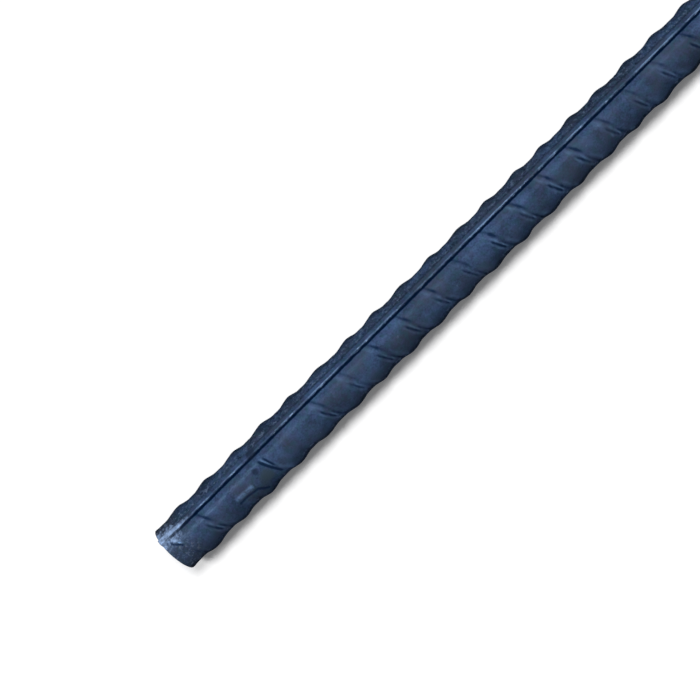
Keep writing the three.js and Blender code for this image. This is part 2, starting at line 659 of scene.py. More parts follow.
@dataclass(frozen=True)
class CrescentRibs:
    """The crescent ribs, which Geometry Nodes raise on the skin.

    A rib swells slowly from its foot to its crest and falls off sooner behind it. It is highest half way
    between the longitudinal ribs and runs out before them. Along its foot the roll leaves short folds, one
    behind another, with a thin fin between two of them. The shear presses the ribs down at the bar's ends
    and spreads the bar a little on the side away from its blade.
    """

    pattern: RibPattern
    lean_rate: float
    half_length: float
    unfolded_rib: int  # the rib at the mill mark, which has no folds
    worn_rib: int = 4  # has none either, because the roll is worn smooth there
    doubled_rib: int = 3  # has a bold fold and a second one beside it
    far_rib_number: float = 1000.0  # what the far half's ribs are counted from

    # The ribs' body. The trough is what is left of its height between two ribs.
    height: float = 0.76 * MM
    vigour: tuple[float, float] = (0.86, 1.08)
    reach: float = math.radians(79)
    trough: float = 0.11
    rise: tuple[float, float] = (-0.3 * MM, 3.2 * MM)
    fall: tuple[float, float] = (3.25 * MM, 6.45 * MM)
    cell_lead: float = 2.3 * MM  # how far before its fold a rib's own stretch of the bar starts

    # The lines along a rib's foot: those of most ribs, and those of two ribs that have their own.
    folds: tuple[RollLine, ...] = (
        RollLine((-77, -64), (0.14, 0.4), 0.55, 0.72),
        RollLine((-66, -53), (0.38, 0.58), 0.64),
        RollLine((-52, -36), (0.62, 0.68), 0.5, 0.2),
        RollLine((-45, -14), (-1.05, -0.52), 0.46, 0.95),
        RollLine((-26, 8), (0.38, 0.8), 0.5, 0.68),
    )
    fins: tuple[RollLine, ...] = (
        RollLine((-76, -62), (-1.06, -0.92), 0.8, 0.34),
        RollLine((-58, -40), (-0.85, -0.2), 0.7, 0.38),
        RollLine((-42, -12), (-0.3, -0.05), 0.38, 0.7),
        RollLine((-48, -22), (-1.5, -1.45), 0.5, 0.4),
        RollLine((-20, -4), (-1.4, -0.7), 0.5, 0.35),
        RollLine((-30, 4), (1.15, 2.25), 0.95, 0.3),
    )
    first_folds: tuple[RollLine, ...] = (
        RollLine((-77, -54), (-0.12, 1.3), 0.55, 1.5),
        RollLine((-27, 4), (1.17, 1.67), 0.85, 0.45),
    )
    first_fins: tuple[RollLine, ...] = (
        RollLine((-79, -70), (0.62, 1.05), 0.75, 1.1),
        RollLine((-70, -56), (1.0, 1.75), 0.5, 1.2),
    )
    doubled_folds: tuple[RollLine, ...] = (
        RollLine((-63, -15), (-0.2, 0.32), 0.62, 1.35),
        RollLine((-60, -36), (1.05, 0.92), 0.45, 1.1),
    )
    doubled_fins: tuple[RollLine, ...] = (
        RollLine((-60, -40), (0.45, 0.5), 0.5, 0.8),
        RollLine((-30, 4), (1.15, 2.25), 0.95, 0.3),
    )
    fold_depth: float = 0.16 * MM
    fin_height: float = 0.12 * MM

    # What is left of a line where it is weakest: along its own length, and from rib to rib.
    weakest_fold: float = 0.5
    weakest_own_fold: float = 0.75
    weakest_fin: float = 0.2
    weakest_rib_fold: float = 0.6
    weakest_rib_fin: float = 0.35
    break_length: float = 1.5 * MM
    break_tones: tuple[float, float] = (0.38, 0.6)
    far_half_share: float = 0.3

    # Where shade is painted on the flanks, and the stretch at each rib's foot where less of it is.
    lit_foot: tuple[float, float] = (-1.9 * MM, 3.5 * MM)
    lit_foot_soft: float = 1.0 * MM
    lit_foot_share: float = 0.8
    flank_turns: tuple[float, float] = (math.radians(-33), math.radians(-10))
    far_flank_lead: float = math.radians(40)

    # What the shear does at an end. The spread grows from the blade's side to the other, over spread_side.
    press_length: float = 6.0 * MM
    pressed_share: float = 0.35
    spread: float = 0.16 * MM
    spread_side: tuple[float, float] = (3 * MM, -5 * MM)

    # The ribs' wander along the bar, which the ends hold still, and the skin's unevenness.
    wander: float = 0.4 * MM
    wander_scale: float = 0.075 / MM
    wander_hold: tuple[float, float] = (2.0 * MM, 10.0 * MM)
    far_wander_lane: float = 0.7  # to another stretch of the same pattern, for the far half
    unevenness: float = 0.2 * MM
    unevenness_scale: float = 0.45 / MM
    seed: int = 12

    def tree(self) -> GeometryNodeTree:
        """Builds the node tree, with an input for each size of the ribs.

        Returns:
            The tree.
        """
        tree = bpy.data.node_groups.new("crescent_ribs", "GeometryNodeTree")
        tree.interface.new_socket("Geometry", in_out="OUTPUT", socket_type="NodeSocketGeometry")
        tree.interface.new_socket("Geometry", in_out="INPUT", socket_type="NodeSocketGeometry")
        for name in self.sizes():
            tree.interface.new_socket(name, in_out="INPUT", socket_type="NodeSocketFloat")
        tree.interface.new_socket("Seed", in_out="INPUT", socket_type="NodeSocketInt")
        tree.interface.new_socket("Steel", in_out="INPUT", socket_type="NodeSocketMaterial")

        at = self._read(tree)
        swell = self._swell(at)
        fold, fin = self._lines(at)
        fold, fin = self._vary(at, fold, fin)
        relief = self._press(at, self._body_relief(at, swell, fold, fin))
        inputs = {"Geometry": at.given["Geometry"], "Offset": self._offset(at, relief)}
        shape = add_node(tree, "GeometryNodeSetPosition", inputs)
        # The flank shade mask marks where the finish paints shade low on the flanks.
        for name, value in (("swell", swell), ("fold", fold), ("fin", fin), ("flank_shade_mask", self._flank_shade(at))):
            shape = add_node(
                tree,
                "GeometryNodeStoreNamedAttribute",
                {"Geometry": shape, "Name": name, "Value": value},
                data_type="FLOAT",
                domain="POINT",
            )
        shape = add_node(tree, "GeometryNodeSetShadeSmooth", {"Geometry": shape, "Shade Smooth": True})
        shape = add_node(tree, "GeometryNodeRealizeInstances", {"Geometry": shape})
        shape = add_node(tree, "GeometryNodeSetMaterial", {"Geometry": shape, "Material": at.given["Steel"]})
        add_node(tree, "NodeGroupOutput", {"Geometry": shape})
        return tree

    def sizes(self) -> dict[str, float]:
        """Lists the tree's number inputs.

        Returns:
            What this bar gives each of them, by name.
        """
        return {
            "Pitch": self.pattern.pitch,
            "Lean Rate": self.lean_rate,
            "First Fold": self.pattern.first_fold,
            "Far Half Lag": self.pattern.far_half_lag,
            "Height": self.height,
            "Reach Cosine": math.cos(self.reach),
            "Rise Start": self.rise[0],
            "Rise End": self.rise[1],
            "Fall Start": self.fall[0],
            "Fall End": self.fall[1],
            "Fold Depth": self.fold_depth,
            "Fin Height": self.fin_height,
            "Press Length": self.press_length,
            "Spread": self.spread,
            "Wander": self.wander,
            "Unevenness": self.unevenness,
            "Half Length": self.half_length,
            "Unfolded Rib": float(self.unfolded_rib),
            "Worn Rib": float(self.worn_rib),
            "Doubled Rib": float(self.doubled_rib),
        }

    def _read(self, tree: GeometryNodeTree) -> SkinPoint:
        """Works out where a point lies against the ribs and the ends.

        Args:
            tree: The tree being built.

        Returns:
            What the rest of the tree reads.
        """
        given = add_node(tree, "NodeGroupInput").outputs
        place = add_node(tree, "GeometryNodeInputPosition")
        place = add_node(tree, "ShaderNodeSeparateXYZ", {0: place}).outputs
        turn = add_node(tree, "GeometryNodeInputNamedAttribute", {"Name": "half_turn"})
        far_half = add_node(tree, "GeometryNodeInputNamedAttribute", {"Name": "far_half"})

        inputs = {0: far_half, 1: given["Far Half Lag"], 2: given["First Fold"]}
        start = add_node(tree, "ShaderNodeMath", inputs, operation="MULTIPLY_ADD")
        slant = add_node(tree, "ShaderNodeMath", {0: turn, 1: given["Lean Rate"]}, operation="MULTIPLY")
        along = add_node(tree, "ShaderNodeMath", {0: place["X"], 1: slant}, operation="SUBTRACT")
        along = add_node(tree, "ShaderNodeMath", {0: along, 1: start}, operation="SUBTRACT")
        led = add_node(tree, "ShaderNodeMath", {0: along, 1: self.cell_lead}, operation="ADD")
        cells = add_node(tree, "ShaderNodeMath", {0: led, 1: given["Pitch"]}, operation="DIVIDE")
        cell = add_node(tree, "ShaderNodeMath", {0: cells}, operation="FLOOR")
        cell_start = add_node(tree, "ShaderNodeMath", {0: cell, 1: given["Pitch"]}, operation="MULTIPLY")
        past_fold = add_node(tree, "ShaderNodeMath", {0: along, 1: cell_start}, operation="SUBTRACT")
        inputs = {0: far_half, 1: self.far_rib_number, 2: cell}
        number = add_node(tree, "ShaderNodeMath", inputs, operation="MULTIPLY_ADD")

        from_middle = add_node(tree, "ShaderNodeMath", {0: place["X"]}, operation="ABSOLUTE")
        inputs = {0: given["Half Length"], 1: from_middle}
        to_end = add_node(tree, "ShaderNodeMath", inputs, operation="SUBTRACT")
        return SkinPoint(tree, given, place, turn, far_half, past_fold, number, to_end)

    def _swell(self, at: SkinPoint) -> Node:
        """Shapes a rib's broad body.

        Args:
            at: What the tree reads.

        Returns:
            The body's height, from 0 off the rib's ends to 1 on its crest at its highest place.
        """
        cosine = add_node(at.tree, "ShaderNodeMath", {0: at.turn}, operation="COSINE")
        inputs = {"Value": cosine, "From Min": at.given["Reach Cosine"], "From Max": 1.0}
        height = add_node(at.tree, "ShaderNodeMapRange", inputs)
        rise, fall = (
            add_node(
                at.tree,
                "ShaderNodeMapRange",
                {
                    "Value": at.past_fold,
                    "From Min": at.given[low],
                    "From Max": at.given[high],
                    "To Min": self.trough,
                },
                interpolation_type="SMOOTHSTEP",
            )
            for low, high in (("Rise Start", "Rise End"), ("Fall End", "Fall Start"))
        )
        body = add_node(at.tree, "ShaderNodeMath", {0: rise, 1: fall}, operation="MULTIPLY")
        return add_node(at.tree, "ShaderNodeMath", {0: body, 1: height}, operation="MULTIPLY")

    def _body_relief(self, at: SkinPoint, swell: Node, fold: Node, fin: Node) -> Node:
        """How far out the pattern moves a point.

        Args:
            at: What the tree reads.
            swell: The rib's body there.
            fold: How strong a fold is there.
            fin: How strong a fin is there.

        Returns:
            The relief in metres.
        """
        # The first output of Random Value is its vector, so its number is asked for by name.
        vigour = add_node(
            at.tree,
            "FunctionNodeRandomValue",
            {"Min": self.vigour[0], "Max": self.vigour[1], "ID": at.number, "Seed": at.given["Seed"]},
            data_type="FLOAT",
        ).outputs["Value"]
        relief = add_node(at.tree, "ShaderNodeMath", {0: swell, 1: at.given["Height"]}, operation="MULTIPLY")
        relief = add_node(at.tree, "ShaderNodeMath", {0: relief, 1: vigour}, operation="MULTIPLY")
        drop = add_node(at.tree, "ShaderNodeMath", {0: fold, 1: at.given["Fold Depth"]}, operation="MULTIPLY")
        relief = add_node(at.tree, "ShaderNodeMath", {0: relief, 1: drop}, operation="SUBTRACT")
        inputs = {0: fin, 1: at.given["Fin Height"], 2: relief}
        return add_node(at.tree, "ShaderNodeMath", inputs, operation="MULTIPLY_ADD")

    def _lines(self, at: SkinPoint) -> tuple[Node, Node]:
        """The folds and the fins of every rib. Two ribs have lines of their own.

        Args:
            at: What the tree reads.

        Returns:
            The mask of the folds and that of the fins.
        """
        fold = self._broken_lines(at, self.folds, self.weakest_fold)
        fin = self._broken_lines(at, self.fins, self.weakest_fin)
        for rib, own_folds, own_fins in (
            (0.0, self.first_folds, self.first_fins),
            (at.given["Doubled Rib"], self.doubled_folds, self.doubled_fins),
        ):
            is_own = add_node(at.tree, "ShaderNodeMath", {0: at.number, 1: rib, 2: 0.5}, operation="COMPARE")
            own_fold = self._broken_lines(at, own_folds, self.weakest_own_fold)
            own_fin = self._broken_lines(at, own_fins, self.weakest_fin)
            fold = add_node(at.tree, "ShaderNodeMix", {"Factor": is_own, "A": fold, "B": own_fold})
            fin = add_node(at.tree, "ShaderNodeMix", {"Factor": is_own, "A": fin, "B": own_fin})
        return fold, fin

    def _broken_lines(self, at: SkinPoint, lines: tuple[RollLine, ...], weakest: float) -> Node:
        """All lines of one kind along the rib's foot, broken into stronger and weaker stretches.

        Args:
            at: What the tree reads.
            lines: Where the lines run.
            weakest: What is left of a line where it is weakest.

        Returns:
            The mask, up to a line's strength along its middle.
        """
        whole, *others = [line.draw(at.tree, at.past_fold, at.turn) for line in lines]
        for mask in others:
            whole = add_node(at.tree, "ShaderNodeMath", {0: whole, 1: mask}, operation="MAXIMUM")
        breaks = add_node(at.tree, "ShaderNodeTexNoise", {"Scale": 1 / self.break_length, "Detail": 1.0})
        weak_at, whole_at = self.break_tones
        kept = add_node(
            at.tree,
            "ShaderNodeMapRange",
            {"Value": breaks, "From Min": weak_at, "From Max": whole_at, "To Min": weakest},
            interpolation_type="SMOOTHSTEP",
        )
        return add_node(at.tree, "ShaderNodeMath", {0: whole, 1: kept}, operation="MULTIPLY")

    def _vary(self, at: SkinPoint, fold: Node, fin: Node) -> tuple[Node, Node]:
        """Makes each rib's lines a little stronger or weaker, and leaves out those of the two plain ribs.

        Args:
            at: What the tree reads.
            fold: The folds of every rib.
            fin: The fins of every rib.

        Returns:
            The folds and the fins, which another roll leaves fainter on the far half.
        """
        inputs = {"Value": at.far_half, "To Min": 1.0, "To Max": self.far_half_share}
        shown = add_node(at.tree, "ShaderNodeMapRange", inputs)
        for plain_rib in ("Unfolded Rib", "Worn Rib"):
            inputs = {0: at.number, 1: at.given[plain_rib], 2: 0.5}
            is_plain = add_node(at.tree, "ShaderNodeMath", inputs, operation="COMPARE")
            others = add_node(at.tree, "ShaderNodeMath", {0: 1.0, 1: is_plain}, operation="SUBTRACT")
            shown = add_node(at.tree, "ShaderNodeMath", {0: shown, 1: others}, operation="MULTIPLY")
        varied = []
        # Each kind of line draws by numbers of its own, so that a rib's fold and fin differ.
        for line, weakest, first_number in (
            (fold, self.weakest_rib_fold, 4000.0),
            (fin, self.weakest_rib_fin, 8000.0),
        ):
            own_number = add_node(at.tree, "ShaderNodeMath", {0: at.number, 1: first_number}, operation="ADD")
            strength = add_node(
                at.tree,
                "FunctionNodeRandomValue",
                {"Min": weakest, "Max": 1.0, "ID": own_number, "Seed": at.given["Seed"]},
                data_type="FLOAT",
            ).outputs["Value"]
            kept = add_node(at.tree, "ShaderNodeMath", {0: line, 1: strength}, operation="MULTIPLY")
            varied.append(add_node(at.tree, "ShaderNodeMath", {0: kept, 1: shown}, operation="MULTIPLY"))
        return varied[0], varied[1]

    def _flank_shade(self, at: SkinPoint) -> Node:
        """Finds where shade is painted on the bar's flanks: low down on both halves, and less at the ribs'
        feet.

        Args:
            at: What the tree reads.

        Returns:
            The mask.
        """
        before, behind = (
            add_node(
                at.tree,
                "ShaderNodeMapRange",
                {"Value": at.past_fold, "From Min": end, "From Max": end + inward},
                interpolation_type="SMOOTHSTEP",
            )
            for end, inward in zip(self.lit_foot, (self.lit_foot_soft, -self.lit_foot_soft))
        )
        foot = add_node(at.tree, "ShaderNodeMath", {0: before, 1: behind}, operation="MULTIPLY")
        inputs = {0: foot, 1: -self.lit_foot_share, 2: 1.0}
        between = add_node(at.tree, "ShaderNodeMath", inputs, operation="MULTIPLY_ADD")
        inputs = {0: at.far_half, 1: self.far_flank_lead, 2: at.turn}
        flank = add_node(at.tree, "ShaderNodeMath", inputs, operation="MULTIPLY_ADD")
        inputs = {"Value": flank, "From Min": self.flank_turns[0], "From Max": self.flank_turns[1]}
        low = add_node(at.tree, "ShaderNodeMapRange", inputs, interpolation_type="SMOOTHSTEP")
        return add_node(at.tree, "ShaderNodeMath", {0: low, 1: between}, operation="MULTIPLY")

    def _press(self, at: SkinPoint, relief: Node) -> Node:
        """Presses the relief down towards the ends, and spreads the bar on the side away from the blade.

        Args:
            at: What the tree reads.
            relief: How far out the pattern moves a point.

        Returns:
            The relief with both.
        """
        press_length = at.given["Press Length"]
        inputs = {"Value": at.to_end, "From Max": press_length, "To Min": self.pressed_share}
        kept = add_node(at.tree, "ShaderNodeMapRange", inputs, interpolation_type="SMOOTHSTEP")
        relief = add_node(at.tree, "ShaderNodeMath", {0: relief, 1: kept}, operation="MULTIPLY")
        inputs = {"Value": at.to_end, "From Min": press_length, "From Max": 0.0, "To Max": at.given["Spread"]}
        spread = add_node(at.tree, "ShaderNodeMapRange", inputs)
        end_side = add_node(at.tree, "ShaderNodeMath", {0: at.place["X"]}, operation="SIGN")
        inputs = {0: at.place["Y"], 1: end_side}
        from_blade = add_node(at.tree, "ShaderNodeMath", inputs, operation="MULTIPLY")
        inputs = {"Value": from_blade, "From Min": self.spread_side[0], "From Max": self.spread_side[1]}
        away = add_node(at.tree, "ShaderNodeMapRange", inputs)
        return add_node(at.tree, "ShaderNodeMath", {0: spread, 1: away, 2: relief}, operation="MULTIPLY_ADD")

    def _offset(self, at: SkinPoint, relief: Node) -> Node:
        """How each point moves: out from the axis by the relief, and a little along it.

        Args:
            at: What the tree reads.
            relief: How far out the pattern moves a point.

        Returns:
            The movement as a vector.
        """
        tree = at.tree
        inputs = {"Scale": self.unevenness_scale, "Detail": 2.0, "Roughness": 0.5}
        bumps = add_node(tree, "ShaderNodeTexNoise", inputs)
        rough = add_node(tree, "ShaderNodeMath", {0: bumps, 1: 0.5}, operation="SUBTRACT")
        inputs = {0: rough, 1: at.given["Unevenness"], 2: relief}
        relief = add_node(tree, "ShaderNodeMath", inputs, operation="MULTIPLY_ADD")
        share = add_node(tree, "GeometryNodeInputNamedAttribute", {"Name": "skin_share"})
        relief = add_node(tree, "ShaderNodeMath", {0: relief, 1: share}, operation="MULTIPLY")
        radial = add_node(tree, "ShaderNodeCombineXYZ", {"Y": at.place["Y"], "Z": at.place["Z"]})
        outward = add_node(tree, "ShaderNodeVectorMath", {0: radial}, operation="NORMALIZE")
        out = add_node(tree, "ShaderNodeVectorMath", {0: outward, "Scale": relief}, operation="SCALE")

        inputs = {0: at.far_half, 1: self.far_wander_lane, 2: at.place["X"]}
        lane = add_node(tree, "ShaderNodeMath", inputs, operation="MULTIPLY_ADD")
        inputs = {"W": lane, "Scale": self.wander_scale, "Detail": 0.0}
        drift = add_node(tree, "ShaderNodeTexNoise", inputs, noise_dimensions="1D")
        drift = add_node(tree, "ShaderNodeMath", {0: drift, 1: 0.5}, operation="SUBTRACT")
        held, free = self.wander_hold
        inputs = {"Value": at.to_end, "From Min": held, "From Max": free, "To Max": at.given["Wander"]}
        hold = add_node(tree, "ShaderNodeMapRange", inputs, interpolation_type="SMOOTHSTEP")
        drift = add_node(tree, "ShaderNodeMath", {0: drift, 1: hold}, operation="MULTIPLY")
        # The pattern mostly stays within a quarter of its middle tone, so four times that spans the wander.
        drift = add_node(tree, "ShaderNodeMath", {0: drift, 1: 4.0}, operation="MULTIPLY")
        along = add_node(tree, "ShaderNodeCombineXYZ", {"X": drift})
        return add_node(tree, "ShaderNodeVectorMath", {0: out, 1: along}, operation="ADD")

    def raise_on(self, skin: Mesh, steel: Material) -> Mesh:
        """Raises the ribs on a skin.

        Args:
            skin: The bar's skin, with its attributes.
            steel: The finish that the tree sets.

        Returns:
            A plain mesh of the whole ribbed bar.
        """
        carrier = bpy.data.objects.new("rib_carrier", skin)
        bpy.context.scene.collection.objects.link(carrier)
        tree = self.tree()
        modifier = carrier.modifiers.new("crescent_ribs", "NODES")
        modifier.node_group = tree
        values = {**self.sizes(), "Seed": self.seed, "Steel": steel}
        for item in tree.interface.items_tree:
            if item.in_out == "INPUT" and item.name in values:
                modifier[item.identifier] = values[item.name]
        depsgraph = bpy.context.evaluated_depsgraph_get()
        evaluated = carrier.evaluated_get(depsgraph)
        ribbed = bpy.data.meshes.new_from_object(
            evaluated, preserve_all_data_layers=True, depsgraph=depsgraph
        )
        carrier.modifiers.clear()
        bpy.data.objects.remove(carrier)
        return ribbed


@dataclass(frozen=True)
class Fade:
    """How a share changes over a measure or a pattern: from `least` at `low` to `most` at `high`."""

    low: float
    high: float
    least: float = 0.0
    most: float = 1.0

    def over(self, measure: Node | NodeSocket) -> dict[str, object]:
        """What goes into a Map Range node, so that it gives this share over a measure."""
        ends = {"From Min": self.low, "From Max": self.high, "To Min": self.least, "To Max": self.most}
        return {"Value": measure, **ends}


@dataclass(frozen=True)
class Stripe:
    """A stripe along the bar: 1 within `half_width` of its middle, and 0 from `soft` further away."""

    middle: float
    half_width: float
    soft: float

    def draw(self, tree: NodeTree, measure: Node) -> Node:
        """Draws the stripe's mask.

        Args:
            tree: The material's tree.
            measure: Where a point lies across the stripe.

        Returns:
            The mask.
        """
        off = add_node(tree, "ShaderNodeMath", {0: measure, 1: self.middle}, operation="SUBTRACT")
        distance = add_node(tree, "ShaderNodeMath", {0: off}, operation="ABSOLUTE")
        edge = Fade(self.half_width + self.soft, self.half_width)
        return add_node(tree, "ShaderNodeMapRange", edge.over(distance), interpolation_type="SMOOTHSTEP")


@dataclass(frozen=True)
class Patch:
    """A ragged patch: its middle, how far it reaches, and how much of its colour shows at full strength."""

    middle: tuple[float, float, float]
    reach: float
    share: float
    full_within: float = 0.35  # of the reach

    def draw(self, tree: NodeTree, place: Node, pattern: Node) -> Node:
        """Draws the patch's mask.

        Args:
            tree: The material's tree.
            place: The point in millimetres.
            pattern: What makes the patch's edge ragged.

        Returns:
            The mask.
        """
        away = add_node(tree, "ShaderNodeVectorMath", {0: place, 1: self.middle}, operation="DISTANCE")
        ragged = add_node(tree, "ShaderNodeMath", {0: pattern, 1: 0.5}, operation="SUBTRACT")
        inputs = {0: ragged, 1: -self.reach, 2: away.outputs["Value"]}
        away = add_node(tree, "ShaderNodeMath", inputs, operation="MULTIPLY_ADD")
        edge = Fade(self.reach, self.full_within * self.reach, most=self.share)
        return add_node(tree, "ShaderNodeMapRange", edge.over(away), interpolation_type="SMOOTHSTEP")


@dataclass(frozen=True)
class SteelPoint:
    """What the finish reads at a point of the surface, as nodes of its tree, with lengths in millimetres.

    All but `place` and `off_top` are the same at the point opposite through the bar's middle, as the bar is.
    """

    tree: NodeTree
    place: Node
    across: Node  # sideways from the nearer longitudinal rib's middle, growing as turns round the bar do
    beside_rib: Node  # the same to either side
    off_top: Node  # sideways from the painted sheen line along the bar's top, and far away on the underside
    to_end: Node  # along the bar to the nearer end
    from_blade: Node  # sideways, growing towards the side that the nearer end's blade came from
    cut_face: NodeSocket  # 1 on a cut face
    on_side: Node  # 1 off the cut faces
    mottle: Node
    grain: Node
    flecks: Node


Layer = tuple[Node | NodeSocket, str]  # a mask, and the colour that it lays over what is below


@dataclass(frozen=True)
class MillScaleSteel:
    """Hot-rolled low-carbon steel under mill scale, as it leaves the cooling bed.

    Mill scale is a thin, brittle skin of iron oxide. It looks blue-black with a satin sheen and clouded
    tones, and is worn bright by the shear at the ends. Its colour also holds painted light: a painted
    highlight on the longitudinal ribs' corners and the rolled fins, a painted sheen line along the top,
    painted glints, and painted shade in the folds, at the ribs' roots and feet and low on the flanks.
    Places, lengths and the sizes of patterns are in millimetres. A pattern's tones lie round 0.5.
    """

    name: str = "hot_rolled_mill_scale"
    scale_dark: str = "#25334a"
    scale_light: str = "#3b5174"
    scale_grey: str = "#363d4b"
    scale_teal: str = "#2a4656"
    scale_violet: str = "#3b4165"
    # Painted shade in the folds and the mark's crease.
    painted_crease_shade: str = "#081c38"
    # Painted shade at the longitudinal ribs' roots.
    painted_root_shade: str = "#021530"
    # Painted highlight on the rolled fins, and the worn top of the mark.
    fin_highlight_and_worn_mark: str = "#5f7da3"
    light_fleck: str = "#586983"
    # Dark flecks and smears, painted shade at the longitudinal ribs' far feet, and the crescents' darker
    # bodies.
    dark_fleck_and_shade: str = "#172131"
    # Painted highlight on the longitudinal ribs' corners and painted sheen along the bar's top.
    painted_highlight: str = "#617999"
    # Bare steel at the worn ends, and painted glints on the longitudinal ribs' corners.
    bare_steel_and_glint: str = "#8ca5ca"
    end_dirt: str = "#343c48"
    end_dust: str = "#767e8d"
    dulled: str = "#34434f"
    # A painted glint.
    painted_glint: str = "#93a8c8"
    # Painted shade low on the flanks.
    painted_flank_shade: str = "#1a283a"
    fracture: str = "#4f5968"
    burnish: str = "#8b98ab"
    edge_tint: str = "#232d3e"

    # The sheen, and the patterns' sizes.
    metallic: Fade = Fade(0.0, 1.0, 0.3, 0.5)  # from whole scale to bare steel
    satin: Fade = Fade(0.3, 0.7, 0.54, 0.66)  # the roughness, over the mottle
    burnish_roughness: float = 0.38
    specular_level: float = 0.0
    mottle_size: float = 1.9
    cloud_size: float = 6.5
    tint_size: float = 1.3
    fleck_size: float = 0.8
    grain_size: float = 0.45  # drawn coarser than the scale's own grain, which is too fine to show

    # The scale's own colour: dark to light over three patterns together, then grey, teal and violet on top.
    cloud_weight: float = 1.4
    grain_weight: float = 1.1
    light_tone: Fade = Fade(1.44, 2.06)
    greying: Fade = Fade(0.42, 0.64, most=0.68)
    teal_tint: Fade = Fade(0.5, 0.66, most=0.55)
    violet_tint: Fade = Fade(0.48, 0.34, most=0.35)
    elsewhere: tuple[float, float, float] = (31.0, 17.0, 5.0)  # to another part of the clouds' pattern
    # Painted shade low on the flanks, not the scale's own colour: how much of it shows.
    flank_shade_share: float = 0.38

    # The flecks of broken scale beyond each longitudinal rib, and the crescents' darker bodies there.
    flecked_across: Fade = Fade(0.2, 1.4)
    flecks_on_crescent: Fade = Fade(0.0, 0.6, 1.0, 0.45)
    light_flecks: Fade = Fade(0.52, 0.66)
    dark_flecks: Fade = Fade(0.46, 0.34)
    crescent_grey: float = 0.25
    crescent_shade: float = 0.35

    # The rolled lines: painted highlights on the fins, painted shade in the folds and the crease; the mark's
    # raised top is worn.
    mark_wear: Fade = Fade(0.38, 0.62, 0.15)
    mark_share: float = 0.55
    fin_tone: Fade = Fade(0.0, 0.9, most=0.85)
    fold_tone: Fade = Fade(0.0, 0.6, most=0.85)
    crease_tone: Fade = Fade(0.0, 0.7, most=0.75)

    # The longitudinal ribs, with painted shade at root and far foot and a painted highlight on the corner,
    # and the painted sheen line on the bar's top. The fades that end in "kept" run along the bar.
    highlight_break_length: float = 1.6
    highlight_break_width: float = 0.5
    rib_wander: float = 0.3
    # Painted shade at a longitudinal rib's far foot.
    far_foot_shade: Stripe = Stripe(1.2, 0.15, 0.45)
    far_foot_shade_kept: Fade = Fade(5.0, 45.0, most=0.5)
    # Painted shade at a longitudinal rib's root.
    root_shade_stripe: Stripe = Stripe(0.875, 0.08, 0.2)
    root_kept: Fade = Fade(1.0, 9.0, 0.4)
    # Painted highlight and glints on a longitudinal rib's corner.
    highlit_corner: Stripe = Stripe(-0.47, 0.06, 0.2)
    highlight_breaks: Fade = Fade(0.88, 1.18, 0.12)
    glints: Fade = Fade(0.57, 0.7, most=0.8)
    # Where the painted sheen line along the bar's top lies.
    sheen_line: float = 0.5
    underside_shift: float = 20.0  # takes the underside out of the painted sheen line's reach
    sheen_stripe: Stripe = Stripe(0.05, 0.1, 0.6)
    sheen_breaks: Fade = Fade(0.35, 0.72, most=0.48)
    sheen_kept: Fade = Fade(45.0, 12.0, 0.3)

    # The end, which the shear and handling have worn bare, dirtied and dusted.
    bared_end: Fade = Fade(9.5, 0.0)
    bared_crest_end: Fade = Fade(11.4, 4.75)
    bared_round_rib: Stripe = Stripe(0.2, 1.1, 2.7)
    bared_crest: Stripe = Stripe(-0.2, 0.25, 0.9)
    bared_fin_weight: float = 1.5
    bared_crest_weight: float = 0.9
    bared_fleck_weight: float = 1.4
    bared_mottle_weight: float = 1.6
    bared: Fade = Fade(1.88, 2.75, most=0.95)
    # The wall where the painted root shade stays, kept free of bare steel.
    root_shade_wall: Stripe = Stripe(0.8, 0.1, 0.15)
    wall_kept: Fade = Fade(1.4, 5.5, 0.1)
    dirty_end: Fade = Fade(8.0, 2.5)
    dirt: Fade = Fade(0.6, 0.42, most=0.6)
    dust: Fade = Fade(0.5, 0.7, most=0.55)

    # Single patches: one dulled place, two dark smears and a painted glint on the end's edge.
    dulled_place: Patch = Patch((-273.2, -2.9, 5.0), 2.5, 0.85)
    smears: tuple[Patch, ...] = (
        Patch((-272.3, 3.3, 5.4), 1.8, 0.7),
        Patch((-274.3, -0.3, 5.8), 1.1, 0.7),
    )
    # A painted glint on the near end's edge.
    glint_place: Patch = Patch((-301.2, 0.7, 5.7), 0.8, 1.0)

    # The cut faces: a smooth burnished band on the blade's side of a ragged line, and torn steel beyond it.
    raggedness: float = 3.0
    burnished: Fade = Fade(3.2, 3.8)
    pits: Fade = Fade(0.56, 0.38, most=0.6)

    # The fine relief, with each pattern's weight beside the grain's.
    grain_depth: float = 0.03 * MM
    streak_width: float = 0.5
    streak_length: float = 9.0
    mottle_relief: float = 1.2
    streak_relief: float = 0.5
    torn_mottle_relief: float = 2.0
    torn_relief: float = 4.0

